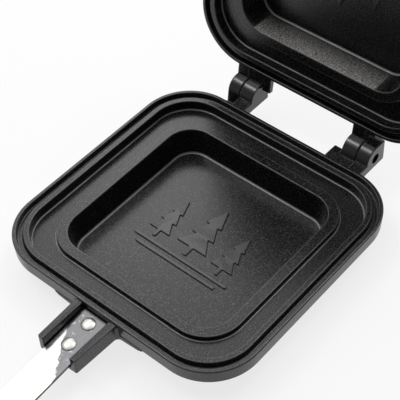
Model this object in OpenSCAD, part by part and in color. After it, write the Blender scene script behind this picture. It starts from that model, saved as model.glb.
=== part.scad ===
// Pie iron for one sandwich: two square cast aluminium plates joined by a lift-off hinge,
// each with a riveted steel strap handle, wooden grip scales and a wire bail that locks
// the two handles together. The iron is drawn open, as it stands on a table.
// Millimetres, +Z up, origin under the middle of the lower plate, +Y towards the hinge.

/* [Plates] */
// Outer width of each square plate
plate_w = 145; // [125:1:170]
// Radius of the plate's outer corners
corner_r = 30; // [27:0.5:34]
// Height of a plate from its underside to its lip
plate_h = 20.5; // [18:0.5:26]
// Height of the outer wall of the rim
rim_h = 8.4; // [7.6:0.1:10]
// Draft of the outer wall over its height
rim_draft = 0.4; // [0.2:0.1:0.8]
// Thickness of the well's floor and wall
wall_t = 2.5; // [2:0.1:3.4]
// Gap between the two lips when the iron is shut
shut_gap = 0.3; // [0.2:0.05:0.6]

/* [Rim profile] */
// Width of the flat outer lip
lip_w = 2; // [1.6:0.1:3]
// Rounding of the lip's outer edge
lip_round = 0.8; // [0.4:0.1:1.2]
// Width of the groove inside the lip
groove_w = 2.4; // [1.8:0.1:3.4]
// Depth of the groove
groove_d = 2.9; // [2:0.1:3.8]
// Width of the crimping rib inside the groove
rib_w = 3; // [2.2:0.1:4]
// How far the rib stays below the lip
rib_drop = 0.4; // [0.2:0.1:0.8]
// Slope of the rib's outer side
rib_slope = 0.6; // [0.2:0.1:1]
// Depth of the flat ledge below the lip
ledge_d = 6.2; // [5.2:0.1:6.6]

/* [Well] */
// Distance from the plate's outer edge to the foot of the bead
bead_inset = 17.2; // [15:0.1:20]
// Width of the bead around the well
bead_w = 6; // [5:0.1:8]
// Height of the bead above the ledge
bead_h = 2.9; // [1.5:0.1:3.6]
// Slope of the bead's outer side
bead_slope = 0.4; // [0.2:0.1:0.8]
// Corner radius of the well's mouth
well_r = 14.4; // [10:0.2:18]
// How far the well's wall leans in from mouth to floor
well_draft = 2.7; // [1:0.1:5]

/* [Relief on the floor] */
// Height of the raised pattern
relief_h = 0.7; // [0.4:0.1:1]
// Height of the tallest tree
tree_h = 40; // [30:1:48]
// Width of the tallest tree
tree_w = 19; // [14:0.5:22]
// Size of the side trees against the tallest
tree_small = 0.72; // [0.5:0.02:0.9]
// Spacing of the trees
tree_pitch = 20; // [18:0.5:22]
// Width of the lines under the trees
ground_line = 2; // [1.2:0.1:3]

/* [Hinge] */
// Distance from the plate's outer edge to the hinge axis
hinge_out = 12.9; // [12:0.1:15]
// Radius of the knuckles
knuckle_r = 7.2; // [6.4:0.1:7.6]
// Width of the outer knuckle, which carries the pin
outer_w = 7.4; // [6.6:0.1:9]
// Width of the inner knuckle, which turns on the other half's pin
inner_w = 8.4; // [7:0.1:10]
// Side gap between two knuckles
knuckle_gap = 0.4; // [0.3:0.05:0.8]
// Distance of the parting between the knuckles from the middle
knuckle_x = 37.6; // [33:0.1:40]
// Depth of the knuckles below the hinge axis
knuckle_drop = 6.1; // [5:0.1:6.4]
// How far the square back of the stop knuckle reaches behind the axis
horn_back = 7.9; // [7.6:0.1:8.4]
// Thickness of the hinge leaf
leaf_t = 3; // [2.4:0.1:3.6]
// Running gap between a leaf and the knuckle behind it
leaf_gap = 0.4; // [0.3:0.05:0.8]
// Depth of the stop lug's top below the lip
lug_depth = 5.5; // [5.2:0.1:5.9]
// Thickness of the stop lug
lug_t = 2.6; // [2:0.1:2.8]
// Gap between the stop lug and the open lid's horn
lug_gap = 0.3; // [0.2:0.05:0.4]
// Width of the guide tab beside the inner knuckle
tab_w = 5.3; // [3:0.1:6]
// Distance of the guide tab's end from the hinge axis
tab_stop = 4.3; // [3.4:0.1:6]
// Radius of the hinge pins
pin_r = 2.8; // [1.6:0.1:3.2]
// Running clearance of a pin in the inner knuckle
pin_play = 0.06; // [0.03:0.01:0.09]
// Clearance of a pin where it is fixed
pin_fit = 0.02; // [0.01:0.01:0.03]
// Depth of a pin's end below the outer knuckle's face
pin_recess = 2; // [0.5:0.5:3]
// Metal left at the blind end of the inner knuckle's bore
blind_wall = 2; // [1.4:0.1:2.6]
// Opening angle of the lid, measured from shut
open_angle = 98; // [85:1:105]

/* [Handle bracket] */
// Length of the bracket's arms from the plate's edge
arm_len = 26; // [22:0.5:32]
// Half width of the bracket at the plate
arm_root = 12.7; // [12:0.1:14]
// Half width of the bracket at its end
arm_tip = 11.7; // [10.6:0.1:12.2]
// Depth of the arms' upper edge below the lip
arm_top = 1.2; // [0.6:0.1:2]
// Depth of the arms' lower edge below the lip
arm_bottom = 11; // [10.5:0.1:12]
// Thickness of the bracket's floor under the strap
seat_t = 2.6; // [2:0.1:3]
// Length of the gusset along the plate on each side
gusset_len = 15; // [8:0.5:20]
// Depth of the gusset's far end below the rim
gusset_end = 1.3; // [0.8:0.1:1.8]
// Radius of the fillet between arm and plate
arm_fillet = 1.3; // [1:0.1:3]

/* [Handle strap] */
// Width of the strap
strap_w = 16; // [12:0.5:17]
// Thickness of the strap
strap_t = 1.6; // [1.2:0.1:2]
// Depth of the strap's upper face below the lip at the plate
strap_top = 4.6; // [4:0.1:5.4]
// Downward slope of the strap in the bracket, in degrees
strap_slope = 4.85; // [3:0.05:5.5]
// Distance from the plate's edge to the strap's bend
bend_at = 52; // [40:1:60]
// Clearance between strap and bracket
strap_gap = 0.2; // [0.1:0.05:0.4]
// Distance from the plate's edge to the eye at the end of the lid's strap
strap_end = 188; // [170:1:210]
// How far the base strap's tongue reaches past that eye
tongue_over = 3; // [1:0.5:5]
// Radius of the rivets' shanks at the plate
rivet_r = 2.2; // [1.8:0.1:2.6]
// Radius of the rivets' heads at the plate
rivet_head_r = 3.6; // [3:0.1:4.2]
// Height of the rivets' heads at the plate
rivet_head_h = 1.3; // [0.8:0.1:1.8]
// Distance from the strap's inner end to the first rivet
rivet_in = 5.2; // [4.6:0.1:6.6]
// Distance between the two rivets at the plate
rivet_pitch = 13.2; // [10:0.1:14]

/* [Grips] */
// Length of the wooden grip scales
grip_len = 108; // [90:1:120]
// Width of the grip scales
grip_w = 23; // [20:0.5:26]
// Thickness of the scale on the side of the other handle
grip_in_t = 7.8; // [6:0.1:8]
// Thickness of the scale on the outer side
grip_out_t = 6.5; // [5:0.1:7.5]
// Rounding of the scales' long edges
grip_round = 4; // [2:0.5:5]
// Distance from the grip's end to the strap's end
grip_from_end = 17; // [16:0.5:24]
// Radius of the grip rivets' shanks
peg_r = 2; // [1.5:0.1:2.5]
// Radius of the grip rivets' heads
peg_head_r = 4; // [3:0.1:5]
// Depth of the seats of the grip rivets' heads
peg_seat = 1.2; // [0.8:0.1:1.6]
// Height of the grip rivets' heads above the wood
peg_proud = 0.3; // [0.1:0.1:0.5]
// Distance of the grip rivets from the grip's ends
peg_inset = 17; // [12:0.5:25]
// Clearance of all rivet shanks in their holes
shank_play = 0.05; // [0.02:0.01:0.08]

/* [Lock bail] */
// Radius of the bail's wire
wire_r = 1.4; // [1:0.1:1.6]
// Clearance of the wire in the lid strap's eye
wire_play = 0.06; // [0.03:0.01:0.09]
// Wall of the lid strap's rolled eye
eye_wall = 1.6; // [1.2:0.1:2]
// Gap between the bail's legs and the strap's edges
bail_side = 1.8; // [1:0.1:2.6]
// Bend radius of the bail's corners, to the wire's middle
bail_bend = 3; // [2:0.1:4]
// Gap between the bail and what it rests on or locks
bail_gap = 0.3; // [0.2:0.05:0.4]

/* [Hidden] */
$fn = 64;
half = plate_w / 2;
rim_c = half - corner_r;                    // centre of the rim's corner arcs
z_lip = plate_h;
z_part = z_lip + shut_gap / 2;              // parting plane, and height of the hinge axis
axis_y = half + hinge_out;
rib_out = lip_w + groove_w;                 // foot of the rib, in the groove
rib_in = rib_out + rib_slope + rib_w;       // inner edge of the rib
bead_out = bead_inset + bead_slope;
well_in = bead_inset + bead_w;              // edge of the well's mouth
well_c = half - well_in - well_r;           // centre of the well's corner arcs
z_bead = z_lip - ledge_d + bead_h;
z_ledge = z_lip - ledge_d;
z_rim = z_lip - rim_h;
edge = 0.3;                                 // small chamfers of the casting
lap = 0.5;                                  // how far joined bodies run into each other
tan_slope = tan(strap_slope);
seat_y = -half - strap_gap;                 // inner end of the strap
z_seat = z_lip - strap_top;                 // upper face of the strap at its inner end
bend_y = -half - bend_at;
end_y = -half - strap_end;
z_flat = z_seat - (seat_y - bend_y) * tan_slope;  // upper face of the strap past the bend
z_eye = z_flat - strap_t / 2;
tongue_y = end_y - tongue_over;             // end of the base strap's tongue
eye_r = wire_r + wire_play;
eye_out = eye_r + eye_wall;
grip_y1 = end_y + grip_from_end;            // grip's outer end
grip_y0 = grip_y1 + grip_len;
grip_top = z_flat + grip_in_t;
grip_bottom = z_flat - strap_t - grip_out_t;
// Middle of the bail's legs, whose bends start clear of the eye
bail_x = strap_w / 2 + max(bail_side + wire_r, bail_bend + 0.2);
bail_len = 2 * (z_part - z_eye) + strap_t / 2 + wire_r + bail_gap;
bail_rest = asin((z_eye - grip_bottom + wire_r + bail_gap) / bail_len);
stop_lean = open_angle - 90;                // lean of the stop lug's end
over = 1;                                   // overshoot of cuts

// A profile drawn as [inset from the plate's edge, height], carried around a rounded square
// whose corner arcs have their centres at (+-c, +-c).
module around(c) {
    for (k = [0 : 3])
        rotate([0, 0, 90 * k]) {
            translate([c, c, 0])
                rotate_extrude(angle = 90)
                    translate([half - c, 0])
                        mirror([1, 0])
                            children();
            translate([half, c, 0])
                rotate([90, 0, 0])
                    linear_extrude(2 * c)
                        mirror([1, 0])
                            children();
        }
}

// Rounded square, w half wide, with its corner arcs centred at (+-c, +-c)
module rounded_square(w, c) {
    square([2 * w, 2 * c], center = true);
    square([2 * c, 2 * w], center = true);
    for (x = [-c, c], y = [-c, c])
        translate([x, y])
            circle(w - c);
}

// Section of the rim: drafted wall, rounded lip, groove and crimping rib
module rim_profile() {
    z_rib = z_lip - rib_drop;
    z_groove = z_lip - groove_d;
    polygon(concat(
        [[rim_draft, z_rim]],
        [for (a = [180 : -30 : 90]) [lip_round + lip_round * cos(a), z_lip - lip_round + lip_round * sin(a)]],
        [[lip_w - edge, z_lip], [lip_w, z_lip - edge],
         [lip_w, z_groove], [rib_out, z_groove],
         [rib_out + rib_slope - edge / 2, z_rib - edge], [rib_out + rib_slope + edge / 2, z_rib],
         [rib_in - edge, z_rib], [rib_in, z_rib - edge],
         [rib_in + edge, z_ledge - lap], [rib_in + edge, z_rim]]));
}

// Section of the bead and of the well's leaning wall
module well_profile() {
    polygon([[bead_inset, z_ledge - lap],
             [bead_inset, z_ledge],
             [bead_out, z_bead - edge],
             [bead_out + edge, z_bead],
             [well_in - edge, z_bead],
             [well_in, z_bead - edge],
             [well_in + well_draft, wall_t],
             [well_in + well_draft, 0],
             [well_in + well_draft - wall_t + edge, 0],
             [well_in + well_draft - wall_t, edge],
             [well_in - wall_t, z_rim],
             [bead_inset, z_rim]]);
}

// One pine tree, h high and w wide, its foot at the origin
module tree(h, w) {
    tiers = 3;
    tier_h = h * 0.84 / (tiers - 0.6);
    translate([-w * 0.07, 0])
        square([w * 0.14, h * 0.2]);
    for (i = [0 : tiers - 1])
        let (s = 1 - 0.24 * i, y0 = h * 0.16 + i * tier_h * 0.7)
            polygon([[-w / 2 * s, y0], [w / 2 * s, y0], [0, y0 + tier_h * (1.16 - 0.08 * i)]]);
}

// Raised pattern on the floor: three pines over two ground lines
module relief() {
    base_line = -tree_h / 2 + 4 * ground_line;
    translate([0, 0, wall_t - lap])
        linear_extrude(lap + relief_h) {
            translate([0, base_line])
                tree(tree_h - 2 * ground_line, tree_w);
            for (s = [-1, 1])
                translate([s * tree_pitch, base_line])
                    tree(tree_h * tree_small, tree_w * tree_small);
            for (i = [0, 1])
                translate([0, base_line - (1.5 + 2 * i) * ground_line])
                    square([2 * tree_pitch + tree_w * (1 - 0.45 * i), ground_line], center = true);
        }
}

// Side view of a knuckle and its root, [y, z] around the hinge axis
module knuckle_profile(back, horn) {
    intersection() {
        union() {
            circle(knuckle_r);
            translate([-hinge_out - lip_w / 2, -knuckle_drop])
                square([hinge_out + lip_w / 2 + back, knuckle_drop - shut_gap / 2]);
            if (horn)
                square([back, knuckle_r]);
            if (horn)
                translate([0, -knuckle_drop])
                    square([back, knuckle_drop + 1]);
        }
        translate([-2 * hinge_out, -knuckle_drop])
            square([2 * hinge_out + back, knuckle_drop + knuckle_r]);
    }
}

// Extrudes a [y, z] side view from x0 to x1
module side(x0, x1) {
    translate([x0, 0, 0])
        rotate([90, 0, 90])
            linear_extrude(x1 - x0)
                children();
}

// Side view of the leaf, level with the lip and ending before the other half's knuckle
module leaf_profile() {
    translate([-hinge_out - lip_w / 2, -shut_gap / 2 - leaf_t])
        square([hinge_out + lip_w / 2 - knuckle_r - leaf_gap, leaf_t]);
}

// Side view of the stop lug low on the rim: its end leans as the horn does on the open lid
module lug_profile() {
    top = z_lip - lug_depth - z_part;
    reach = (knuckle_r + lug_gap) / cos(stop_lean);
    polygon([[-hinge_out - lip_w / 2, top],
             [top * tan(stop_lean) - reach, top],
             [(top - lug_t) * tan(stop_lean) - reach, top - lug_t],
             [-hinge_out - lip_w / 2, top - lug_t]]);
}

// The two hinge halves of one plate: stop knuckle at +x, plain knuckle at -x, and on the
// lower plate the lug that stops the lid
module hinge_halves(lug) {
    in_x = knuckle_x - knuckle_gap / 2;      // end of the inner knuckle
    out_x = knuckle_x + knuckle_gap / 2;     // start of the outer knuckle
    tab_x = in_x - inner_w - knuckle_gap;    // end of the guide tab
    translate([0, axis_y, z_part]) {
        difference() {
            side(out_x, out_x + outer_w)
                knuckle_profile(horn_back, true);
            translate([out_x - over, 0, 0])
                rotate([0, 90, 0])
                    cylinder(r = pin_r + pin_fit, h = outer_w + 2 * over);
        }
        side(tab_x - tab_w, out_x + lap)
            leaf_profile();
        side(tab_x - tab_w, tab_x)
            translate([-hinge_out - lip_w / 2, -shut_gap / 2 - leaf_t])
                square([hinge_out + lip_w / 2 - tab_stop, leaf_t]);
        difference() {
            side(-in_x, -in_x + inner_w)
                knuckle_profile(knuckle_r, false);
            translate([-in_x - over, 0, 0])
                rotate([0, 90, 0])
                    cylinder(r = pin_r + pin_play, h = inner_w - blind_wall + over);
        }
        if (lug)
            side(-out_x - outer_w, -in_x + lap)
                lug_profile();
    }
}

// Plan of one bracket arm, on the +x side
module arm_plan() {
    clear = strap_w / 2 + strap_gap + 0.2;
    polygon([[clear, -half - arm_len], [arm_tip, -half - arm_len],
             [arm_root, -half], [arm_root, -half + lip_w], [clear, -half + lip_w]]);
}

// Handle bracket: two arms, a sloping floor between them, fillets and gussets
module bracket() {
    floor_w = 2 * (strap_w / 2 + strap_gap + 0.2 + lap);
    z_arm = z_lip - arm_bottom;
    for (s = [0, 1])
        mirror([s, 0, 0]) {
            translate([0, 0, z_arm])
                linear_extrude(arm_bottom - arm_top)
                    arm_plan();
            difference() {
                translate([arm_root - lap, -half - arm_fillet, z_arm])
                    cube([lap + arm_fillet, arm_fillet + lip_w / 2, arm_bottom - 2 * arm_top]);
                translate([arm_root + arm_fillet, -half - arm_fillet, z_arm - over])
                    cylinder(r = arm_fillet, h = arm_bottom + over);
            }
            translate([0, -half + rim_draft + 5, 0])
                rotate([90, 0, 0])
                    linear_extrude(5)
                        polygon([[arm_root - lap, z_rim + lap], [arm_root + gusset_len, z_rim + lap],
                                 [arm_root + gusset_len, z_rim],
                                 [arm_root + gusset_len - 2 * gusset_end, z_rim - gusset_end],
                                 [arm_root, z_arm], [arm_root - lap, z_arm]]);
        }
    side(-floor_w / 2, floor_w / 2)
        polygon([for (e = [[0, 0], [1, 0], [1, 1], [0, 1]])
            let (y = e[0] == 0 ? -half - arm_len : -half + lip_w)
                [y, strap_z(y) - strap_t - e[1] * seat_t]]);
}

// Height of the strap's upper face above the bracket's floor at a given y
function strap_z(y) = z_seat - (seat_y - y) * tan_slope;

// Places children at the inner rivets, their axes square to the sloping strap
module at_rivets() {
    for (i = [0, 1])
        let (y = seat_y - rivet_in - i * rivet_pitch)
            translate([0, y, strap_z(y)])
                rotate([strap_slope, 0, 0])
                    children();
}

// One cast plate with its well, rim, hinge halves and handle bracket
module plate(lug) {
    difference() {
        union() {
            around(rim_c)
                rim_profile();
            around(well_c)
                well_profile();
            difference() {
                translate([0, 0, z_rim])
                    linear_extrude(z_ledge - z_rim)
                        rounded_square(half - rib_in, rim_c);
                translate([0, 0, z_rim - over])
                    linear_extrude(z_ledge)
                        rounded_square(half - bead_inset - 2, well_c);
            }
            linear_extrude(wall_t)
                rounded_square(half - well_in - well_draft + lap, well_c);
            relief();
            hinge_halves(lug);
            bracket();
        }
        at_rivets()
            translate([0, 0, -strap_t - seat_t - over])
                cylinder(r = rivet_r + shank_play, h = strap_t + seat_t + 2 * over);
    }
}

// Side view of the strap, [y, z]: sloping in the bracket, level in the grip, ending at y1
module strap_profile(y1) {
    polygon([[seat_y, z_seat], [bend_y, z_flat], [y1, z_flat],
             [y1, z_flat - strap_t], [bend_y, z_flat - strap_t], [seat_y, z_seat - strap_t]]);
}

// Steel strap; the lid's ends in a rolled eye, the base's in a round tongue
module strap(eye) {
    peg_y = [grip_y0 - peg_inset, grip_y1 + peg_inset];
    difference() {
        union() {
            intersection() {
                side(-strap_w / 2, strap_w / 2)
                    strap_profile(eye ? end_y : tongue_y);
                translate([0, 0, z_flat - 2 * strap_t])
                    linear_extrude(z_seat - z_flat + 4 * strap_t)
                        strap_plan(eye);
            }
            if (eye)
                translate([-strap_w / 2, end_y, z_eye])
                    rotate([0, 90, 0])
                        cylinder(r = eye_out, h = strap_w);
        }
        if (eye)
            translate([-strap_w / 2 - over, end_y, z_eye])
                rotate([0, 90, 0])
                    cylinder(r = eye_r, h = strap_w + 2 * over);
        at_rivets()
            translate([0, 0, -strap_t - over])
                cylinder(r = rivet_r + shank_play, h = strap_t + 2 * over);
        for (y = peg_y)
            translate([0, y, z_flat - strap_t - over])
                cylinder(r = peg_r + shank_play, h = strap_t + 2 * over);
    }
}

// Plan of the strap: square where it is rolled into the eye, round on the tongue
module strap_plan(eye) {
    tip = strap_w / 2;
    y1 = eye ? end_y : tongue_y + tip;
    translate([-tip, y1])
        square([strap_w, seat_y - y1]);
    if (!eye)
        translate([0, y1])
            circle(tip);
}

// The two rivets that hold the strap in the bracket: low domes above, flat tails below
module plate_rivets() {
    dome_r = (rivet_head_r * rivet_head_r + rivet_head_h * rivet_head_h) / (2 * rivet_head_h);
    at_rivets() {
        translate([0, 0, -strap_t - seat_t - rivet_head_h * 0.6])
            cylinder(r = rivet_head_r, h = rivet_head_h * 0.6);
        translate([0, 0, -strap_t - seat_t])
            cylinder(r = rivet_r, h = strap_t + seat_t + rivet_head_h / 2);
        intersection() {
            translate([0, 0, rivet_head_h - dome_r])
                sphere(dome_r);
            cylinder(r = rivet_head_r + over, h = rivet_head_h + over);
        }
    }
}

// Outline of a grip scale seen along the handle: flat on the strap, rounded outside
module grip_section(t) {
    w = grip_w / 2;
    r = min(grip_round, t - over);
    translate([-w, 0])
        square([grip_w, t - r]);
    translate([-w + r, 0])
        square([grip_w - 2 * r, t]);
    for (s = [-1, 1])
        translate([s * (w - r), t - r])
            circle(r);
}

// Outline of a grip scale seen from the side, with a rounded end at both ends
module grip_side(t) {
    r = t - 0.6;
    translate([grip_y1 + r, 0])
        square([grip_len - 2 * r, t]);
    translate([grip_y1, 0])
        square([grip_len, t - r]);
    for (y = [grip_y1 + r, grip_y0 - r])
        translate([y, t - r])
            circle(r);
}

// One wooden grip scale, t thick, lying on z = 0, with seats for the rivet heads
module grip_scale(t) {
    difference() {
        intersection() {
            side(-grip_w / 2, grip_w / 2)
                intersection() {
                    grip_side(t);
                    translate([grip_y1 - over, 0])
                        square([grip_len + 2 * over, t + over]);
                }
            translate([0, grip_y0 + over, 0])
                rotate([90, 0, 0])
                    linear_extrude(grip_len + 2 * over)
                        intersection() {
                            grip_section(t);
                            translate([-grip_w, 0])
                                square([2 * grip_w, t + over]);
                        }
        }
        for (y = [grip_y0 - peg_inset, grip_y1 + peg_inset])
            translate([0, y, 0]) {
                translate([0, 0, -over])
                    cylinder(r = peg_r + shank_play, h = t + 2 * over);
                translate([0, 0, t - peg_seat])
                    cylinder(r = peg_head_r + shank_play, h = peg_seat + over);
            }
    }
}

module grip_inner() {
    translate([0, 0, z_flat])
        grip_scale(grip_in_t);
}

module grip_outer() {
    translate([0, 0, z_flat - strap_t])
        mirror([0, 0, 1])
            grip_scale(grip_out_t);
}

// The two rivets through grip scales and strap
module grip_rivets() {
    for (y = [grip_y0 - peg_inset, grip_y1 + peg_inset])
        translate([0, y, 0]) {
            translate([0, 0, grip_bottom + peg_seat])
                cylinder(r = peg_r, h = grip_top - grip_bottom - 2 * peg_seat);
            translate([0, 0, grip_bottom - peg_proud])
                cylinder(r = peg_head_r, h = peg_seat + peg_proud);
            translate([0, 0, grip_top - peg_seat])
                cylinder(r = peg_head_r, h = peg_seat + peg_proud);
        }
}

// Hinge pin: fixed in the stop knuckle, running in the other half's knuckle
module hinge_pin() {
    inner = knuckle_x - knuckle_gap / 2 - inner_w + blind_wall + knuckle_gap;
    outer = knuckle_x + knuckle_gap / 2 + outer_w - pin_recess;
    translate([inner, axis_y, z_part])
        rotate([0, 90, 0])
            cylinder(r = pin_r, h = outer - inner);
}

// Closed wire loop through the eye, drawn along +y from the eye's axis
module bail_loop() {
    straight = bail_len - 2 * bail_bend;
    for (y = [0, bail_len])
        translate([-(bail_x - bail_bend), y, 0])
            rotate([0, 90, 0])
                cylinder(r = wire_r, h = 2 * (bail_x - bail_bend));
    for (x = [-bail_x, bail_x])
        translate([x, bail_bend, 0])
            rotate([-90, 0, 0])
                cylinder(r = wire_r, h = straight);
    for (c = [[1, 0, -90], [1, 1, 0], [-1, 1, 90], [-1, 0, 180]])
        translate([c[0] * (bail_x - bail_bend), bail_bend + c[1] * straight, 0])
            rotate([0, 0, c[2]])
                rotate_extrude(angle = 90)
                    translate([bail_bend, 0])
                        circle(wire_r);
}

module bail() {
    translate([0, end_y, z_eye])
        rotate([-bail_rest, 0, 0])
            bail_loop();
}

// Turns a part of a plate half over and opens it about the hinge, as the lid
module as_lid() {
    translate([0, axis_y, z_part])
        rotate([-open_angle, 0, 0])
            translate([0, -axis_y, z_part])
                rotate([0, 180, 0])
                    children();
}

module base_plate() color([0.16, 0.16, 0.17]) plate(true);
module base_strap() color([0.78, 0.79, 0.80]) strap(false);
module base_plate_rivets() color([0.85, 0.85, 0.86]) plate_rivets();
module base_grip_upper() color([0.62, 0.40, 0.22]) grip_inner();
module base_grip_lower() color([0.62, 0.40, 0.22]) grip_outer();
module base_grip_rivets() color([0.80, 0.80, 0.80]) grip_rivets();
module base_hinge_pin() color([0.55, 0.55, 0.57]) hinge_pin();
module lid_plate() color([0.16, 0.16, 0.17]) as_lid() plate(false);
module lid_strap() color([0.78, 0.79, 0.80]) as_lid() strap(true);
module lid_plate_rivets() color([0.85, 0.85, 0.86]) as_lid() plate_rivets();
module lid_grip_inner() color([0.62, 0.40, 0.22]) as_lid() grip_inner();
module lid_grip_outer() color([0.62, 0.40, 0.22]) as_lid() grip_outer();
module lid_grip_rivets() color([0.80, 0.80, 0.80]) as_lid() grip_rivets();
module lid_hinge_pin() color([0.55, 0.55, 0.57]) as_lid() hinge_pin();
module lock_bail() color([0.75, 0.76, 0.78]) as_lid() bail();

base_plate();
base_strap();
base_plate_rivets();
base_grip_upper();
base_grip_lower();
base_grip_rivets();
base_hinge_pin();
lid_plate();
lid_strap();
lid_plate_rivets();
lid_grip_inner();
lid_grip_outer();
lid_grip_rivets();
lid_hinge_pin();
lock_bail();
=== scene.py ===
# %% [markdown]
# # An open pie iron, drawn round its CAD model
# A pie iron is two square cast pans on a hinge, with a slice of bread and a filling pressed
# between them over a flame. The CAD model already has every solid in its place and turns at its
# joints as the real iron does. This lesson dresses it: softly rounded castings in a sprayed black
# coating, polished steel straps, riveted wooden grips and a wire bail, all worked out with numpy.

# %% Start and load the frame
import math

import bpy
import numpy as np
from mathutils import Matrix, Vector


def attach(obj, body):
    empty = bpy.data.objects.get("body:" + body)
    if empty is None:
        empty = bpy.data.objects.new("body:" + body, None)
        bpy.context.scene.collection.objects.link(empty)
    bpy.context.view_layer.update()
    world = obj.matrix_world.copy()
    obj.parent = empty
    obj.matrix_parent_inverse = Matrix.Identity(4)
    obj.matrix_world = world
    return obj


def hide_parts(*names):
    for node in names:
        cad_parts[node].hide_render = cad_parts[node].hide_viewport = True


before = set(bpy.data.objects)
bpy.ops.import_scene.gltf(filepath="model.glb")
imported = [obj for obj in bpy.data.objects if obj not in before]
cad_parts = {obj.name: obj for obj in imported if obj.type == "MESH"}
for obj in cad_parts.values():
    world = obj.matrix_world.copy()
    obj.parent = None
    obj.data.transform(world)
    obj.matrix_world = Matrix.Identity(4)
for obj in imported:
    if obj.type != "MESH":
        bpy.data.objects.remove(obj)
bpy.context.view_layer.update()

# %% [markdown]
# ## Sizes
# The iron is measured in millimetres, as its maker would, and turned into metres only when a
# piece is placed. The names below follow the parts of one pan: lip, groove, rib, ledge, bead,
# well.

# %% Sizes of one pan
MM = 0.001
half = 72.5                     # half the width of the square pan
rim_c = 42.5                    # centre of the outer corner arcs
z_lip, z_rim = 20.5, 12.1       # top of the lip, and underside of the rim
z_ledge, z_bead = 14.3, 17.2
wall = 2.5                      # thickness of the well's floor and wall
lip_w, rib_out, rib_in = 2.0, 4.4, 8.0
z_groove, z_rib = 16.9, 20.1
bead_in, bead_top, well_in = 17.2, 17.6, 23.2
well_foot = 25.9
well_c = 34.9                   # centre of the well's corner arcs

# %% Sizes of the hinge, the bracket and the handle
axis_y, z_axis = 85.4, 20.65
knuckle_r, knuckle_drop = 7.2, 6.1
inner_w, outer_w = 8.4, 7.4
inner_x, outer_x = 37.4, 37.8   # the faces of the two knuckles at their parting
hinge_root = -13.9
strap_w, strap_t = 16.0, 1.6
seat_y, bend_y = -72.7, -124.5
z_seat, z_flat = 15.9, 11.505
z_eye, end_y, tongue_y = 10.705, -260.5, -263.5
slope_deg = 4.85                # fall of the strap in the bracket
slope = math.tan(math.radians(slope_deg))
grip_y0, grip_y1, grip_w = -135.5, -243.5, 23.0
grip_top, grip_bottom = 19.305, 3.405
open_angle = 98.0

# %% [markdown]
# ## Rounded sections
# Every edge of a casting is a little round, and that thin round is what catches the light. So
# all shapes here but the rivets start from corners that each carry their own radius. One function
# replaces the corners by arcs. It also marks them, so that a material can tell an edge from a
# face.

# %% Corners to arcs
SHOULDER = 0.5   # how far the mark of an edge fades out over its faces, in mm


def rounded(corners, steps=5):
    """Turns a closed outline of rows (u, v, radius) into points on arcs.

    With unit vectors a and b from a corner to its neighbours, and f half the angle between
    them, the arc begins r/tan(f) along a, ends r/tan(f) along b, and is centred r/sin(f) along
    the bisector. Points on the arc are a slerp between its two ends, seen from the centre.
    A shoulder point follows on each side, where the mark has faded to 0.
    Returns points of shape (corners, steps + 3, 2) and marks of shape (corners, steps + 3).
    """
    c = np.asarray(corners, float)
    p, r = c[:, :2], np.maximum(c[:, 2], 0.004)[:, None]
    a, b = np.roll(p, 1, 0) - p, np.roll(p, -1, 0) - p
    la, lb = np.linalg.norm(a, axis=1)[:, None], np.linalg.norm(b, axis=1)[:, None]
    a, b = a / la, b / lb
    f = np.arccos(np.clip((a * b).sum(1), -0.99999, 0.99999))[:, None] / 2
    cut = r / np.tan(f)
    mid = (a + b) / np.linalg.norm(a + b, axis=1)[:, None]
    centre = p + mid * r / np.sin(f)
    sweep = (math.pi - 2 * f)[..., None]
    t = np.linspace(0, 1, steps + 1)[None, :, None]
    first, last = (p + a * cut - centre)[:, None], (p + b * cut - centre)[:, None]
    slerp = (np.sin((1 - t) * sweep) * first + np.sin(t * sweep) * last) / np.sin(sweep)
    arc = centre[:, None] + slerp
    free_a = (la - cut - np.roll(cut, 1, 0)).clip(0)
    free_b = (lb - cut - np.roll(cut, -1, 0)).clip(0)
    before = p + a * (cut + np.minimum(SHOULDER, 0.3 * free_a))
    after = p + b * (cut + np.minimum(SHOULDER, 0.3 * free_b))
    points = np.concatenate([before[:, None], arc, after[:, None]], 1)
    marks = np.zeros(points.shape[:2])
    marks[:, 1:-1] = 1
    return points, marks


def inset(corners, d):
    """Moves each side of the outline inwards by d: a corner goes d times the sum of its sides'
    inward normals over one plus their dot product, and its radius shrinks or grows by d."""
    c = np.asarray(corners, float)
    p = c[:, :2]
    e = np.roll(p, -1, 0) - p
    e /= np.linalg.norm(e, axis=1)[:, None]
    area = (p[:, 0] * np.roll(p[:, 1], -1) - np.roll(p[:, 0], -1) * p[:, 1]).sum()
    n = np.stack([-e[:, 1], e[:, 0]], 1) * np.sign(area)
    m = np.roll(n, 1, 0)
    moved = p + d * (n + m) / (1 + (n * m).sum(1))[:, None]
    last = np.roll(e, 1, 0)
    convex = np.sign(area) * (last[:, 0] * e[:, 1] - last[:, 1] * e[:, 0]) > 0
    radius = np.where(convex, np.maximum(c[:, 2] - d, 0.004), c[:, 2] + d)
    return np.column_stack([moved, radius])


# %% [markdown]
# ## Shells
# A shell is a stack of closed rings joined by quads and shut by a cap at each end. Only the wire's
# loop has no caps: its last ring is joined to its first. A pan, a knuckle, a strap and a rivet are
# all stacks of rings. The sign of the volume tells whether the faces look outwards, and they are
# turned if they don't.

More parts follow.
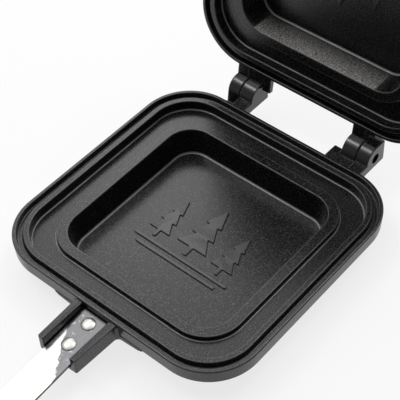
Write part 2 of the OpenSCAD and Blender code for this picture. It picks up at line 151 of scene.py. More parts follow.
# %% Rings to a closed mesh
def shell(rings, marks=0.0, loop=False):
    """Joins rings of shape (m, n, 3): quad (i, j) takes points j and j+1 of rings i and i+1.
    The faces are turned if the sum of p0 . (p1 x p2) / 6 over their triangles is negative."""
    m, n = rings.shape[:2]
    j = np.arange(n)
    k = np.roll(j, -1)
    i = np.arange(m if loop else m - 1)[:, None] * n
    up = (i + n) % (m * n)
    quads = np.stack([i + j, i + k, up + k, up + j], -1).reshape(-1, 4)
    verts = rings.reshape(-1, 3)
    v = verts[quads]
    volume = (v[:, 0] * np.cross(v[:, 1], v[:, 2])).sum()
    volume += (v[:, 0] * np.cross(v[:, 2], v[:, 3])).sum()
    faces = quads.tolist()
    if not loop:
        for ring in (j[::-1], j + (m - 1) * n):
            q = verts[ring]
            fan = np.cross(q[1:-1], q[2:])
            volume += (q[0] * fan).sum()
            faces.append(ring.tolist())
    if volume < 0:
        faces = [f[::-1] for f in faces]
    marks = np.broadcast_to(np.asarray(marks, float), (m, n)).reshape(-1)
    return verts, faces, marks


def prism(corners, low, high, round_low=0.4, round_high=0.4, steps=3, arc_steps=5, frame_of=None):
    """Stands an outline up from low to high with rounded rims: at angle t the ring is inset
    by rx(1 - cos t) and lies rz(1 - sin t) below the top. A radius may be a pair (rx, rz)."""
    t = np.radians(np.linspace(0, 90, steps + 1))
    stack = []
    for z, sign, r in ((low, 1, round_low), (high, -1, round_high)):
        rx, rz = r if isinstance(r, tuple) else (r, r)
        side = [(rx * (1 - math.cos(a)), z + sign * rz * (1 - math.sin(a)), 1.0) for a in t]
        rim = side + [(rx + min(SHOULDER, 0.3 * rx + 0.15), z, 0.0)]
        foot = [(0.0, z + sign * (rz + min(SHOULDER, 0.3 * (high - low - rz))), 0.0)]
        stack += (foot + rim)[::-1] if sign > 0 else foot + rim
    rings, marks = [], []
    for d, z, mark in stack:
        flat, edge = rounded(inset(corners, d), arc_steps)
        flat, edge = flat.reshape(-1, 2), edge.reshape(-1)
        rings.append(np.column_stack([flat, np.full(len(flat), z)]))
        marks.append(np.maximum(edge, mark))
    rings = np.array(rings)
    if frame_of is not None:
        rings = frame_of(rings)
    return shell(rings, np.array(marks))


def side_view(rings):
    """Lays a prism down: its outline (u, v) becomes (y, z) and its height becomes x."""
    return rings[..., [2, 0, 1]]


def end_view(rings):
    """Lays a prism down along y: its outline (u, v) becomes (x, z), its height becomes y."""
    return rings[..., [0, 2, 1]]


# %% Meshes, and cutting or joining them
def to_mesh(name, parts):
    """One mesh from several shells, in mm, with the mark of the edges as an attribute."""
    verts, faces, marks, base = [], [], [], 0
    for v, f, m in parts:
        verts.append(v)
        marks.append(m)
        faces += [[i + base for i in face] for face in f]
        base += len(v)
    mesh = bpy.data.meshes.new(name)
    mesh.from_pydata(np.concatenate(verts).tolist(), [], faces)
    mesh.attributes.new("edge", "FLOAT", "POINT").data.foreach_set(
        "value", np.concatenate(marks).astype(np.float32))
    return mesh


def combine(mesh, parts, operation):
    """Joins each shell to the mesh, or cuts it away, with the manifold boolean solver."""
    host = bpy.data.objects.new("host", mesh)
    bpy.context.collection.objects.link(host)
    for part in parts:
        tool = bpy.data.objects.new("tool", to_mesh("tool", [part]))
        bpy.context.collection.objects.link(tool)
        step = host.modifiers.new("step", "BOOLEAN")
        step.solver, step.operation, step.object = "MANIFOLD", operation, tool
        graph = bpy.context.evaluated_depsgraph_get()
        shaped = bpy.data.meshes.new_from_object(host.evaluated_get(graph))
        host.modifiers.clear()
        host.data = shaped
        bpy.data.objects.remove(tool)
    shaped = host.data
    bpy.data.objects.remove(host)
    return shaped


# %% [markdown]
# ## One pan
# The pan is a single section carried round a rounded square: from the well's floor up its
# leaning wall, over the bead, across the ledge where the crust lies, over the crimping rib, down
# into the groove, over the lip, and back along the underside. The rim's corners and the well's
# have different centres. The centre slides from one to the other, most of the way where the
# ledge is flat.

# %% The pan's section
PAN_SECTION = [
    # inset from the edge, height, radius
    (well_foot + 3, wall, 0.01), (well_foot, wall, 0.8), (well_in, z_bead, 0.55),
    (bead_top, z_bead, 0.45), (bead_in, z_ledge, 0.38), (rib_in + 0.15, z_ledge, 0.5),
    (rib_in, z_rib, 0.45), (rib_out + 0.6, z_rib, 0.45), (rib_out, z_groove, 0.45),
    (lip_w, z_groove, 0.45), (lip_w, z_lip, 0.4), (0.0, z_lip, 0.8), (0.4, z_rim, 0.6),
    (well_in - wall, z_rim, 0.9), (well_foot - wall, 0.0, 0.8), (well_foot + 3, 0.0, 0.01),
]
# Where the corner arcs have their centre, by the inset from the edge.
CENTRE_INSETS = [0, rib_out, rib_in + 1.5, bead_in - 1.5]
CENTRES = [rim_c + 1.8, rim_c + 0.5, rim_c + 0.2, well_c]
QUARTERS = np.radians([0, 90, 180, 270])


def square_rings(profile, steps=24):
    """A ring for each (inset s, height z): with w = half - s and c the centre of its corners, a
    point of a corner arc is c + (w - c) cos(t) across and c + (w - c) sin(t) along."""
    s, z = profile[:, 0, None, None], profile[:, 1, None, None]
    c = np.interp(s, CENTRE_INSETS, CENTRES)
    t = np.radians(np.linspace(0, 90, steps + 1))[None, None] + QUARTERS[None, :, None]
    sx = np.array([1, -1, -1, 1])[None, :, None]
    sy = np.array([1, 1, -1, -1])[None, :, None]
    x = sx * c + (half - s - c) * np.cos(t)
    y = sy * c + (half - s - c) * np.sin(t)
    return np.stack([x, y, z + 0 * x], -1).reshape(len(profile), -1, 3)


# The feet of the well's wall, the bead and the rib get a mark of 2, where other edges have 1. Where
# the mark is 2 the coating paints a pale highlight line.
FEET = (0, 3, 4)   # counted from the well outwards
points, marks = rounded(PAN_SECTION, 5)
profile = np.concatenate([points[0, -1:], points[1:-1].reshape(-1, 2), points[-1, :1]])
profile_marks = np.concatenate([marks[0, -1:], marks[1:-1].reshape(-1), marks[-1, :1]])
corner_of = (np.arange(len(profile)) - 1) // points.shape[1]
profile_marks = profile_marks + (profile_marks > 0) * np.isin(corner_of, FEET)
pan = shell(square_rings(profile), profile_marks[:, None])
print("pan section", profile.shape[0], "rings")

# %% [markdown]
# ## Hinge halves
# Each pan has a square-backed knuckle with a fixed pin on one side, and on the other a plain one
# that turns on the other pan's pin. When the iron stands open, the lid's square back lands on a
# low lug behind the lower pan's rim. The lid has no lug: there a small heel fills the corner
# beside its plain knuckle. A knuckle is its side view stood up across the pan, its rims rounded
# over.

# %% Knuckles, leaf, guide tab, heel and stop lug
leaf_low, leaf_top = -3.15, -0.15   # the two faces of the leaf, seen from the hinge axis
STOP_KNUCKLE = [(hinge_root, -knuckle_drop, 0.1), (7.9, -knuckle_drop, 0.6),
                (7.9, knuckle_r, 1.0), (-knuckle_r, knuckle_r, knuckle_r),
                (-knuckle_r, leaf_top, 0.1), (hinge_root, leaf_top, 0.1)]
PLAIN_KNUCKLE = [(hinge_root, -knuckle_drop, 0.1), (knuckle_r, -knuckle_drop, 1.0),
                 (knuckle_r, knuckle_r, knuckle_r - 0.01),
                 (-knuckle_r, knuckle_r, knuckle_r - 0.01),
                 (-knuckle_r, leaf_top, 0.1), (hinge_root, leaf_top, 0.1)]
LUG = [(hinge_root, -8.23, 0.1), (-8.73, -8.23, 0.3), (-8.37, -5.67, 0.3),
       (hinge_root, -5.67, 0.1)]


def from_root(end, radius):
    """The side view of a flat bar as thick as the leaf, from the hinge's root to its end."""
    return [(hinge_root, leaf_low, 0.1), (end, leaf_low, radius),
            (end, leaf_top, radius), (hinge_root, leaf_top, 0.1)]


LEAF = from_root(-7.62, 0.3)
HEEL = from_root(-11.6, 0.3)
TAB = from_root(-4.3, 0.5)


def at_axis(rings):
    """Moves a side view, drawn round the hinge axis, to that axis."""
    return side_view(rings) + [0, axis_y, z_axis]


def bar(x0, x1, radius, place=at_axis, steps=40):
    """A plain round bar along x, to cut a bore with."""
    t = np.linspace(0, 2 * math.pi, steps, endpoint=False)
    ring = np.stack([radius * np.cos(t), radius * np.sin(t)], -1)
    rings = np.array([np.column_stack([ring, np.full(steps, x)]) for x in (x0, x1)])
    return shell(place(rings))


hinge_parts = [
    prism(STOP_KNUCKLE, outer_x, outer_x + outer_w, 0.5, 0.5, arc_steps=14, frame_of=at_axis),
    prism(PLAIN_KNUCKLE, -inner_x, -inner_x + inner_w, 0.5, 0.5, arc_steps=14, frame_of=at_axis),
    prism(LEAF, 23.3, outer_x + 0.5, 0.3, 0.3, frame_of=at_axis),
    prism(TAB, 23.3, 28.6, 0.5, 0.5, frame_of=at_axis),
]
heel = prism(HEEL, -42.6, -inner_x + 0.5, 0.3, 0.3, frame_of=at_axis)
lug = prism(LUG, -outer_x - outer_w, -inner_x + 0.5, 0.3, 0.3, frame_of=at_axis)
pin_seat, pin_bore = 2.82, 2.86   # radii: the pin is fixed in one knuckle and turns in the other
bores = [bar(outer_x - 1, outer_x + outer_w + 1, pin_seat),
         bar(-inner_x - 1, -inner_x + inner_w - 2, pin_bore)]

# %% [markdown]
# ## Handle bracket
# Two tapering arms stand out of the rim with a sloping floor between them, and the steel strap
# lies on that floor. A fillet leads each arm into the rim, and a low gusset under the rim
# carries the load into the pan.

# %% Arms, floor, fillets and gussets
arm_end, arm_root = -98.5, -70.5
ARM = [(8.4, arm_end, 0.35), (11.7, arm_end, 0.9), (12.7, -half, 0.1),
       (12.7, arm_root, 0.1), (8.4, arm_root, 0.1)]
FILLET = [(12.2, -71.5, 0.05), (14.05, -71.5, 0.05), (14.05, -half, 0.05), (12.7, -half, 1.3),
          (12.7, -73.85, 0.05), (12.2, -73.85, 0.05)]
GUSSET = [(12.2, 9.5, 0.1), (12.7, 9.5, 0.2), (25.1, 10.8, 1.2), (27.7, z_rim, 0.6),
          (27.7, z_rim + 0.6, 0.1), (12.2, z_rim + 0.6, 0.1)]


def strap_line(y):
    """Height of the strap's upper face in the bracket: a straight line down from the pan."""
    return z_seat - (seat_y - y) * slope


def mirrored(corners):
    """The same outline on the other side, in the same sense of turning."""
    c = np.array(corners, float)[::-1]
    c[:, 0] *= -1
    return c


floor_t = 2.6   # thickness of the bracket's floor under the strap
FLOOR = [(arm_end, strap_line(arm_end) - strap_t - floor_t, 0.3),
         (arm_root, strap_line(arm_root) - strap_t - floor_t, 0.1),
         (arm_root, strap_line(arm_root) - strap_t, 0.1),
         (arm_end, strap_line(arm_end) - strap_t, 0.3)]
bracket_parts = [prism(FLOOR, -8.9, 8.9, 0.1, 0.1, frame_of=side_view)]
for turn in (np.array, mirrored):
    bracket_parts += [
        prism(turn(ARM), 9.5, 19.3, 0.7, 0.5),
        prism(turn(FILLET), 9.5, 18.1, 0.3, 0.3),
        prism(turn(GUSSET), -72.4, -67.1, 0.3, 0.3, frame_of=end_view),
    ]

# %% [markdown]
# ## Relief in the well
# The floor of the well carries a raised picture that prints itself on the toast. This one is a
# plain scene of three pines on level ground, each with its edges rounded as a casting has them.

# %% Pines and ground lines
RELIEF_TOP = 3.2


def pine(x, foot, height, width, tiers=3):
    """Half an outline is a trunk and a zigzag of tiers: tier i begins at y_i with half width
    w_i, runs to where it meets the next one's foot, and steps out again. The rest is mirrored."""
    i = np.arange(tiers)
    tier_h = height * 0.84 / (tiers - 0.6)
    y = height * 0.16 + i * tier_h * 0.7
    w = width / 2 * (1 - 0.24 * i)
    rise = tier_h * (1.16 - 0.08 * i)
    meet = w[:-1] * (1 - (y[1:] - y[:-1]) / rise[:-1])
    right = [(width * 0.07, 0, 0.3), (width * 0.07, y[0], 0.3), (w[0], y[0], 0.35)]
    for k in range(1, tiers):
        right += [(meet[k - 1], y[k], 0.3), (w[k], y[k], 0.35)]
    top = [(0, y[-1] + rise[-1], 0.35)]
    left = [(-u, v, r) for u, v, r in right[::-1]]
    return np.array(right + top + left) + [x, foot, 0]


ground = -12.0
relief_parts = [
    prism(pine(x, ground, h, w), wall - 0.5, RELIEF_TOP, 0.05, 0.3, arc_steps=2)
    for x, h, w in ((0, 36, 19), (-20, 28.8, 13.68), (20, 28.8, 13.68))
]
for drop, width in ((3.0, 59.0), (7.0, 50.45)):
    w = width / 2
    y = ground - drop
    stripe = [(-w, y - 1, 0.5), (w, y - 1, 0.5), (w, y + 1, 0.5), (-w, y + 1, 0.5)]
    relief_parts.append(prism(stripe, wall - 0.5, RELIEF_TOP, 0.05, 0.3, arc_steps=2))

# %% Join the casting
casting = to_mesh("casting", [pan])
casting = combine(casting, hinge_parts + bracket_parts + relief_parts, "UNION")
casting = combine(casting, bores, "DIFFERENCE")
castings = {"base": combine(casting.copy(), [lug], "UNION"),
            "lid": combine(casting, [heel], "UNION")}
print("casting", len(casting.vertices), "points", len(casting.polygons), "faces")

# %% [markdown]
# ## Steel straps
# Each handle is a flat strip of steel with its edges broken. It slopes down in the bracket, bends
# level for the grip, and ends in a round tongue on the lower iron and in a rolled eye on the
# lid. A strip is one small rounded section carried along a line in the side view.

# %% The strip's line and its two ends
def strip(line, widths, radius=0.35):
    """Carries a rounded rectangle along a line of rows (y, z): the section's v goes along the
    line's normal, which is its tangent turned by a quarter, and u goes across. Each row has its
    own half width."""
    h = strap_t / 2
    tangent = np.gradient(line, axis=0)
    tangent /= np.linalg.norm(tangent, axis=1)[:, None]
    normal = np.stack([-tangent[:, 1], tangent[:, 0]], 1)
    rings, marks = [], []
    for (y, z), (ny, nz), w in zip(line, normal, widths):
        p, m = rounded([(-w, -h, radius), (w, -h, radius), (w, h, radius), (-w, h, radius)], 4)
        u, v = p.reshape(-1, 2).T
        rings.append(np.stack([u, y + ny * v, z + nz * v], 1))
        marks.append(m.reshape(-1))
    return shell(np.array(rings), np.array(marks))


def bent_line(y):
    """Middle of the strip: level past the bend and sloping before it, with the corner smoothed by
    the ramp soft * ln(1 + exp(t / soft))."""
    soft = 5.0
    z = z_flat - strap_t / 2 + slope * soft * np.log1p(np.exp((y - bend_y) / soft))
    return np.column_stack([y, z])


tip_angle = np.radians(np.linspace(0, 86, 16))
tongue_r = strap_w / 2
tip_y = tongue_y + tongue_r   # where the round of the tongue begins
base_y = np.concatenate([np.linspace(seat_y, tip_y, 60)[:-1], tip_y - tongue_r * np.sin(tip_angle)])
base_width = np.concatenate([np.full(59, tongue_r), tongue_r * np.cos(tip_angle)])
base_strip = strip(bent_line(base_y), base_width)

eye_bore, roll_len = 1.46, 7.0
eye_mid = eye_bore + strap_t / 2   # radius of the rolled strip's middle line
roll_y = np.linspace(roll_len, 0.0, 9)[1:]
ramp = 1 - roll_y / roll_len
rise = np.column_stack([end_y + roll_y, z_eye + eye_mid * (3 * ramp**2 - 2 * ramp**3)])
wrap = np.radians(np.linspace(90, 348, 40))[1:]
curl = np.column_stack([end_y + eye_mid * np.cos(wrap), z_eye + eye_mid * np.sin(wrap)])
lid_line = np.concatenate([bent_line(np.linspace(seat_y, end_y + roll_len, 56)), rise, curl])
lid_strip = strip(lid_line, np.full(len(lid_line), strap_w / 2))
print("straps", len(base_y), len(lid_line), "stations")

# %% [markdown]
# ## Rivets
# The strap is held by two low domes on the upper face with upset tails below, and the grip by
# flat steel pegs through wood and strap. They are turned shapes: a section spun round its axis.

# %% Turned shapes
def turned(profile, place=(0, 0, 0), tilt=0.0, steps=48):
    """Spins rows (radius, height) round z: x = r cos(t), y = r sin(t). Then tips it about x."""
    p = np.asarray(profile, float)
    t = np.linspace(0, 2 * math.pi, steps, endpoint=False)
    rings = np.stack([p[:, :1] * np.cos(t), p[:, :1] * np.sin(t), p[:, 1:] + 0 * t], -1)
    a = math.radians(tilt)
    tip = np.array([[1, 0, 0], [0, math.cos(a), -math.sin(a)], [0, math.sin(a), math.cos(a)]])
    return shell(rings @ tip.T + place)


a = np.radians(np.linspace(3, 32, 10))
dome_r, dome_h = 3.35, 0.75
crown = (np.cos(a) - math.cos(a[-1])) / (1 - math.cos(a[-1]))
dome = np.column_stack([dome_r * np.sin(a) / math.sin(a[-1]), dome_h * crown + 0.35])
dome = np.vstack([dome, [(3.5, 0.27), (3.58, 0.17), (3.6, 0.05)]])
tail = [(3.55, 0.0), (2.2, -0.1), (2.2, -4.2), (3.3, -4.2), (3.6, -4.45), (3.4, -4.85),
        (2.8, -5.0), (0.6, -5.05)]
rivet_profile = np.concatenate([dome, tail])
rivet_in, rivet_pitch = 5.2, 13.2
rivet_y = [seat_y - rivet_in, seat_y - rivet_in - rivet_pitch]
bracket_rivets = [turned(rivet_profile, (0, y, strap_line(y)), slope_deg) for y in rivet_y]

peg_low, peg_high = grip_bottom - 0.3, grip_top + 0.3
PEG_HEAD = np.array([(0.4, 0.0), (2.6, 0.02), (3.5, 0.1), (3.9, 0.3), (4.0, 0.6), (4.0, 1.5),
                     (2.0, 1.5)])   # rows (radius, depth below the head's top)
peg_profile = np.concatenate([PEG_HEAD * (1, -1) + (0, peg_high),
                              PEG_HEAD[::-1] + (0, peg_low)])
peg_inset = 17
grip_pegs = [turned(peg_profile, (0, y, 0)) for y in (grip_y0 - peg_inset, grip_y1 + peg_inset)]

# %% [markdown]
# ## Wooden scales
# A scale is a flat-bottomed slip of hardwood, a little waisted for the hand and sanded round on
# its outer side. It is a prism with a deep elliptical round on one rim and a fine one on the
# other.

# %% Scales
grip_mid = (grip_y0 + grip_y1) / 2
w = grip_w / 2
waist, end_round = 0.9, 8.5
SCALE = [(-w, grip_y1, end_round), (w, grip_y1, end_round), (w - waist, grip_mid, 900),
         (w, grip_y0, end_round), (-w, grip_y0, end_round), (-w + waist, grip_mid, 900)]
inner_scale = prism(SCALE, z_flat, grip_top, 0.3, (5.5, 5.0), steps=9, arc_steps=8)
outer_scale = prism(SCALE, grip_bottom, z_flat - strap_t, (5.5, 4.6), 0.3, steps=9, arc_steps=8)

# %% [markdown]
# ## Lock bail
# The bail is a closed loop of wire through the eye of the lid's strap. Swung to the lower strap,
# the loop goes round its tongue and holds the iron shut. Its line is a rounded rectangle, and the
# wire's ring stands across that line.

# %% The wire loop
wire_r, bail_x, bail_len = 1.4, 11.2, 22.39
bail_rest = 23.7   # degrees down from level, where it lies on the grip's back
BAIL = [(-bail_x, 0, 3), (bail_x, 0, 3), (bail_x, bail_len, 3), (-bail_x, bail_len, 3)]
line = rounded(BAIL, 8)[0].reshape(-1, 2)


def wire(line, radius, steps=16):
    """With n the line's normal in its plane, a ring point is line + r (n cos t + z sin t)."""
    tangent = np.roll(line, -1, 0) - np.roll(line, 1, 0)
    tangent /= np.linalg.norm(tangent, axis=1)[:, None]
    n = np.stack([tangent[:, 1], -tangent[:, 0]], 1)
    t = np.linspace(0, 2 * math.pi, steps, endpoint=False)
    flat = line[:, None] + radius * n[:, None] * np.cos(t)[None, :, None]
    z = np.broadcast_to(radius * np.sin(t), flat.shape[:2])
    return np.concatenate([flat, z[..., None]], -1)


a = math.radians(-bail_rest)
swing = np.array([[1, 0, 0], [0, math.cos(a), -math.sin(a)], [0, math.sin(a), math.cos(a)]])
bail = shell(wire(line, wire_r) @ swing.T + [0, end_y, z_eye], loop=True)

# %% [markdown]
# ## From the bench to the iron
# Both halves of the iron are the same casting, but for the lug and the heel. The lid's half is
# turned over about the length of the iron and swung open about the hinge. Each mesh keeps its
# place on the bench in an attribute, so the grain of the wood and the brushing of the steel turn
# with it.

# %% Placing
a = math.radians(open_angle)
LID = (Matrix.Translation((0, axis_y, z_axis)) @ Matrix.Rotation(-a, 4, "X")
       @ Matrix.Translation((0, -axis_y, z_axis)) @ Matrix.Rotation(math.pi, 4, "Y"))
SHARP = math.radians(38)
# The wall of the lid's well that catches the light, in mm on the bench: x, y and z from, to. On it
# the coating carries a painted sheen, a pale and grainy grey.
LIT_WALL = ((-well_c - 0.02, well_c + 5.0), (42, 50), (3.8, 16.9))


def place(name, source, body, slot, replaced, bench_shift=(0, 0, 0)):
    """Makes a piece of a mesh or a list of shells in mm: notes its bench place, turns the lid's
    pieces and the bail over, scales to metres, smooths all but the sharp edges, hangs it on its
    body's empty and hides the CAD parts it replaces."""
    mesh = source.copy() if isinstance(source, bpy.types.Mesh) else to_mesh(name, source)
    mesh.name = name
    count = len(mesh.vertices)
    co = np.empty(count * 3, np.float32)
    mesh.vertices.foreach_get("co", co)
    bench = co.reshape(-1, 3) * MM + np.array(bench_shift, np.float32)
    mesh.attributes.new("bench", "FLOAT_VECTOR", "POINT").data.foreach_set("vector", bench.ravel())
    # The lid's lit wall gets a mask for its painted sheen.
    if name == "lid_casting":
        start, end = np.array(LIT_WALL).T
        painted_sheen_mask = ((co.reshape(-1, 3) > start) & (co.reshape(-1, 3) < end)).all(1)
        mesh.attributes.new("painted_sheen_mask", "FLOAT", "POINT").data.foreach_set(
            "value", painted_sheen_mask.astype(np.float32))
    if body != "base":
        mesh.transform(LID)
    mesh.transform(Matrix.Scale(MM, 4))
    mesh.shade_smooth()
    mesh.set_sharp_from_angle(angle=SHARP)
    mesh.update()
    piece = bpy.data.objects.new(name, mesh)
    bpy.context.collection.objects.link(piece)
    even = piece.modifiers.new("even_normals", "WEIGHTED_NORMAL")
    even.keep_sharp, even.weight = True, 60
    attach(piece, body)
    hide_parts(*replaced)
    return piece


shown = {}
for body, strap_shell, shift in (("base", base_strip, 0.0), ("lid", lid_strip, 0.7)):
    upper, lower = ("upper", "lower") if body == "base" else ("inner", "outer")
    away = (0, 0, shift)                   # the lid doesn't repeat the lower iron's grain
    further = (0.31, 0.05, shift + 0.02)   # nor the lower scale the upper one's
    for piece, source, slot, node_name, bench_shift in (
            ("casting", castings[body], "coating", "plate", away),
            ("strip", [strap_shell], "strap", "strap", away),
            ("bracket_rivets", bracket_rivets, "rivet", "plate_rivets", away),
            ("pegs", grip_pegs, "rivet", "grip_rivets", away),
            ("scale_" + upper, [inner_scale], "wood", "grip_" + upper, away),
            ("scale_" + lower, [outer_scale], "wood", "grip_" + lower, further)):
        name = body + "_" + piece
        shown[name] = place(name, source, body, slot, [body + "_" + node_name], bench_shift)
shown["bail_wire"] = place("bail_wire", [bail], "bail", "wire", ["lock_bail"])
print(len(shown), "pieces placed")

# %% [markdown]
# ## Finishes
# Effects that more than one finish uses are built once, as node groups. Each group has named
# inputs and gives out only a mask, a value or a normal.

# %% Helpers for node trees
def node(tree, kind, **values):
    """Adds a node and sets its properties or the defaults of its named inputs."""
    made = tree.nodes.new(kind)
    for key, value in values.items():
        if hasattr(made, key):
            setattr(made, key, value)
        else:
            made.inputs[key.replace("_", " ")].default_value = value
    return made


def group(name, inputs, outputs):
    """An empty shader group with its sockets, and its two end nodes."""
    tree = bpy.data.node_groups.new(name, "ShaderNodeTree")
    for label, kind, value in inputs:
        socket = tree.interface.new_socket(label, in_out="INPUT", socket_type=kind)
        if value is not None:
            socket.default_value = value
    for label, kind in outputs:
        tree.interface.new_socket(label, in_out="OUTPUT", socket_type=kind)
    return tree, tree.nodes.new("NodeGroupInput"), tree.nodes.new("NodeGroupOutput")


def use(tree, made, **values):
    """Places a group in a material with its own values."""
    placed = tree.nodes.new("ShaderNodeGroup")
    placed.node_tree = made
    for key, value in values.items():
        placed.inputs[key.replace("_", " ")].default_value = value
    return placed


FLOAT, VECTOR = "NodeSocketFloat", "NodeSocketVector"

# %% Speckle group
FLECK_RANGE = (0.55, 0.70)   # the noise between which a fleck comes up
speckle, gin, gout = group(
    "speckle", [("Place", VECTOR, None), ("Fleck Size", FLOAT, 0.5), ("Amount", FLOAT, 0.5)],
    [("Flecks", FLOAT), ("Grain", FLOAT)])
scale = node(speckle, "ShaderNodeMath", operation="DIVIDE")
scale.inputs[0].default_value = 1 / MM   # the size is given in mm
speckle.links.new(gin.outputs["Fleck Size"], scale.inputs[1])
fine = node(speckle, "ShaderNodeTexNoise", Detail=2.0, Roughness=0.65)
speckle.links.new(gin.outputs["Place"], fine.inputs["Vector"])
speckle.links.new(scale.outputs[0], fine.inputs["Scale"])
cut = node(speckle, "ShaderNodeMapRange")
cut.inputs["From Min"].default_value, cut.inputs["From Max"].default_value = FLECK_RANGE
speckle.links.new(fine.outputs[0], cut.inputs["Value"])
weigh = node(speckle, "ShaderNodeMath", operation="MULTIPLY")
speckle.links.new(cut.outputs[0], weigh.inputs[0])
speckle.links.new(gin.outputs["Amount"], weigh.inputs[1])
speckle.links.new(weigh.outputs[0], gout.inputs["Flecks"])
speckle.links.new(fine.outputs[0], gout.inputs["Grain"])

# %% Drawn lines group, for brushed steel and for wood
streaks, gin, gout = group(
    "streaks", [("Place", VECTOR, None), ("Across", FLOAT, 900.0), ("Along", FLOAT, 12.0),
                ("Detail", FLOAT, 4.0)],
    [("Streaks", FLOAT)])
stretch = node(streaks, "ShaderNodeCombineXYZ")
streaks.links.new(gin.outputs["Across"], stretch.inputs[0])
streaks.links.new(gin.outputs["Along"], stretch.inputs[1])
streaks.links.new(gin.outputs["Across"], stretch.inputs[2])
pull = node(streaks, "ShaderNodeVectorMath", operation="MULTIPLY")
streaks.links.new(gin.outputs["Place"], pull.inputs[0])
streaks.links.new(stretch.outputs[0], pull.inputs[1])
noise = node(streaks, "ShaderNodeTexNoise", Scale=1.0, Roughness=0.6)
streaks.links.new(pull.outputs[0], noise.inputs["Vector"])
streaks.links.new(gin.outputs["Detail"], noise.inputs["Detail"])
streaks.links.new(noise.outputs[0], gout.inputs["Streaks"])


# %% Starting a material
def start(name):
    """A new material: its tree, its Principled shader, and the attribute with the bench place."""
    material = bpy.data.materials.new(name)
    material.use_nodes = True
    tree = material.node_tree
    tree.nodes.clear()
    shader = tree.nodes.new("ShaderNodeBsdfPrincipled")
    out = tree.nodes.new("ShaderNodeOutputMaterial")
    tree.links.new(shader.outputs[0], out.inputs["Surface"])
    place_of = node(tree, "ShaderNodeAttribute", attribute_name="bench")
    return material, tree, shader, place_of.outputs["Vector"]


def blend_colour(tree, mask, low, high):
    """Mixes two colours by a mask."""
    mix = node(tree, "ShaderNodeMix", data_type="RGBA")
    for socket, colour in ((mix.inputs[6], low), (mix.inputs[7], high)):
        if isinstance(colour, tuple):
            socket.default_value = (*colour, 1)
        else:
            tree.links.new(colour, socket)
    tree.links.new(mask, mix.inputs[0])
    return mix.outputs[2]


def blend_value(tree, mask, low, high):
    """Mixes two values by a mask."""
    mix = node(tree, "ShaderNodeMix", data_type="FLOAT")
    for socket, value in zip(mix.inputs[:4], (mask, None, low, high)):
        if isinstance(value, float):
            socket.default_value = value
        elif value is not None:
            tree.links.new(value, socket)
    return mix.outputs[0]


def to_range(tree, value, low, high, new_low, new_high):
    """Maps a value from one range to another."""
    m = node(tree, "ShaderNodeMapRange")
    for key, number in (("From Min", low), ("From Max", high),
                        ("To Min", new_low), ("To Max", new_high)):
        m.inputs[key].default_value = number
    tree.links.new(value, m.inputs["Value"])
    return m.outputs[0]


def bump(tree, shader, height, strength, distance):
    """Feeds a height into the shader's normal."""
    b = node(tree, "ShaderNodeBump", Strength=strength, Distance=distance)
    tree.links.new(height, b.inputs["Height"])
    tree.links.new(b.outputs[0], shader.inputs["Normal"])


# %% [markdown]
# ### Sprayed coating
# The castings are sprayed with a black coating that has fine grey flecks in it. It is satin, not
# gloss: a faint orange peel breaks up the reflection. Along the edges the coat is a shade lighter,
# partly as a thin, worn coat and partly as a painted highlight on the rounds. Two more tints are
# painted light, matched to the photograph: a thin pale line along the feet of the walls is a
# painted highlight, and a pale, grainy grey on one wall of the lid's well is a painted sheen.
# The knuckles are smoother than the rest.

# %% Coating
COAT, FLECK = (0.0015, 0.0015, 0.0016), (0.16, 0.158, 0.153)
# A shade for the edges, partly worn coat and partly painted highlight, and a painted highlight for
# the feet of the walls.
WORN_EDGE_AND_SHEEN, PAINTED_FOOT_HIGHLIGHT = (0.08, 0.08, 0.08), (0.26, 0.255, 0.25)
# Dark and pale of the painted sheen on the lid's lit wall.
PAINTED_SHEEN_DARK, PAINTED_SHEEN_PALE = (0.03, 0.03, 0.028), (0.56, 0.545, 0.52)
KNUCKLES_FROM, KNUCKLES_TO = 0.0765, 0.0785   # the bench's y over which the knuckles begin

coating, tree, shader, bench = start("sprayed_coating")
dots = use(tree, speckle, Fleck_Size=0.46, Amount=1.0)
tree.links.new(bench, dots.inputs["Place"])
flecks, grain = dots.outputs["Flecks"], dots.outputs["Grain"]
body_colour = blend_colour(tree, flecks, COAT, FLECK)
edge = node(tree, "ShaderNodeAttribute", attribute_name="edge")
# Edges are a shade lighter: partly a thin, worn coat, partly a painted highlight on their rounds.
thin = to_range(tree, edge.outputs["Fac"], 0.2, 1.0, 0.0, 0.7)
edged = blend_colour(tree, thin, body_colour, WORN_EDGE_AND_SHEEN)
# A painted highlight: a pale line where the edge mark is 2, along the feet of the walls.
foot = to_range(tree, edge.outputs["Fac"], 1.2, 2.0, 0.0, 1.0)
edged = blend_colour(tree, foot, edged, PAINTED_FOOT_HIGHLIGHT)
# A painted sheen: the lid's lit wall is painted a pale, grainy grey, standing in for the light on
# it.
painted_sheen_mask = node(tree, "ShaderNodeAttribute", attribute_name="painted_sheen_mask")
painted_sheen = blend_colour(tree, to_range(tree, grain, 0.38, 0.62, 0.0, 1.0), PAINTED_SHEEN_DARK, PAINTED_SHEEN_PALE)
coat_colour = blend_colour(tree, painted_sheen_mask.outputs["Fac"], edged, painted_sheen)
tree.links.new(coat_colour, shader.inputs["Base Color"])
tree.links.new(to_range(tree, flecks, 0.0, 1.0, 0.0, 0.8), shader.inputs["Metallic"])
where = node(tree, "ShaderNodeSeparateXYZ")
tree.links.new(bench, where.inputs[0])
polish = to_range(tree, where.outputs[1], KNUCKLES_FROM, KNUCKLES_TO, 0.0, 1.0)
satin = to_range(tree, grain, 0.3, 0.7, 0.20, 0.32)
glossy = to_range(tree, grain, 0.3, 0.7, 0.10, 0.22)
tree.links.new(blend_value(tree, polish, satin, glossy), shader.inputs["Roughness"])
shader.inputs["Specular IOR Level"].default_value = 0.5
bump(tree, shader, grain, 0.45, 0.00006)

